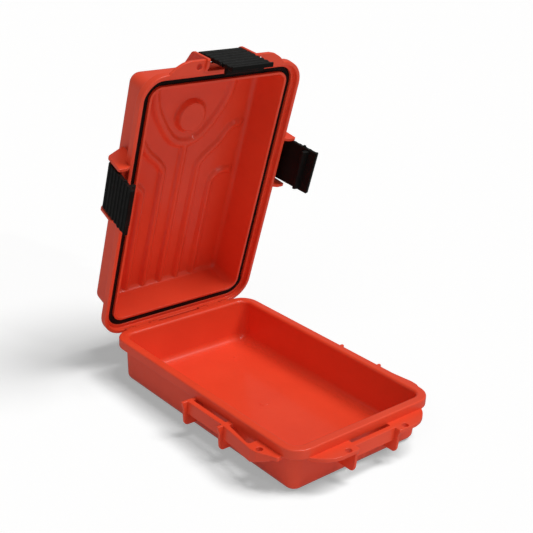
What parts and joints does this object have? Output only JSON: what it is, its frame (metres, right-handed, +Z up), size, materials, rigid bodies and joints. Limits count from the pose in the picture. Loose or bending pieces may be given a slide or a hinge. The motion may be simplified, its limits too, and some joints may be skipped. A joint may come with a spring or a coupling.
{
  "type": "first aid kit",
  "caption": "Hard plastic first aid kit box with a gasketed, hinged lid held shut by snap latches, standing open and empty.",
  "frame": {"origin": "centre of the base shell's underside, on the surface that the box rests on", "axes": "+X to the right, +Y towards the hinge at the back, +Z up"},
  "size_m": [0.1889, 0.2788, 0.276],
  "materials": {
    "shell_plastic": "satin moulded plastic, orange",
    "latch_plastic": "fine-grained moulded plastic, black",
    "seal_rubber": "smooth soft rubber, black",
    "pin_steel": "drawn steel pin"
  },
  "bodies": {
    "base": {"base_shell": "shell_plastic", "left_hinge_pin": "pin_steel", "right_hinge_pin": "pin_steel"},
    "lid": {"lid_shell": "shell_plastic", "sealing_ring": "seal_rubber"},
    "left_latch": {"left_latch": "latch_plastic"},
    "right_latch": {"right_latch": "latch_plastic"},
    "front_latch": {"front_latch": "latch_plastic"}
  },
  "joints": [
    {"name": "lid_hinge", "type": "hinge", "parent": "base", "child": "lid", "pos_m": [0, 0.1184, 0.0332], "axis": [-1, 0, 0], "range_deg": [-75, 75]},
    {"name": "left_latch_pivot", "type": "hinge", "parent": "lid", "child": "left_latch", "pos_m": [-0.0815, 0.09693, 0.17435], "axis": [0, 0.2588, -0.9659], "range_deg": [-8, 112]},
    {"name": "right_latch_pivot", "type": "hinge", "parent": "lid", "child": "right_latch", "pos_m": [0.0815, 0.09693, 0.17435], "axis": [0, -0.2588, 0.9659], "range_deg": [-15, 105]},
    {"name": "front_latch_pivot", "type": "hinge", "parent": "lid", "child": "front_latch", "pos_m": [0, 0.07105, 0.27095], "axis": [-1, 0, 0], "range_deg": [-8, 112]}
  ]
}
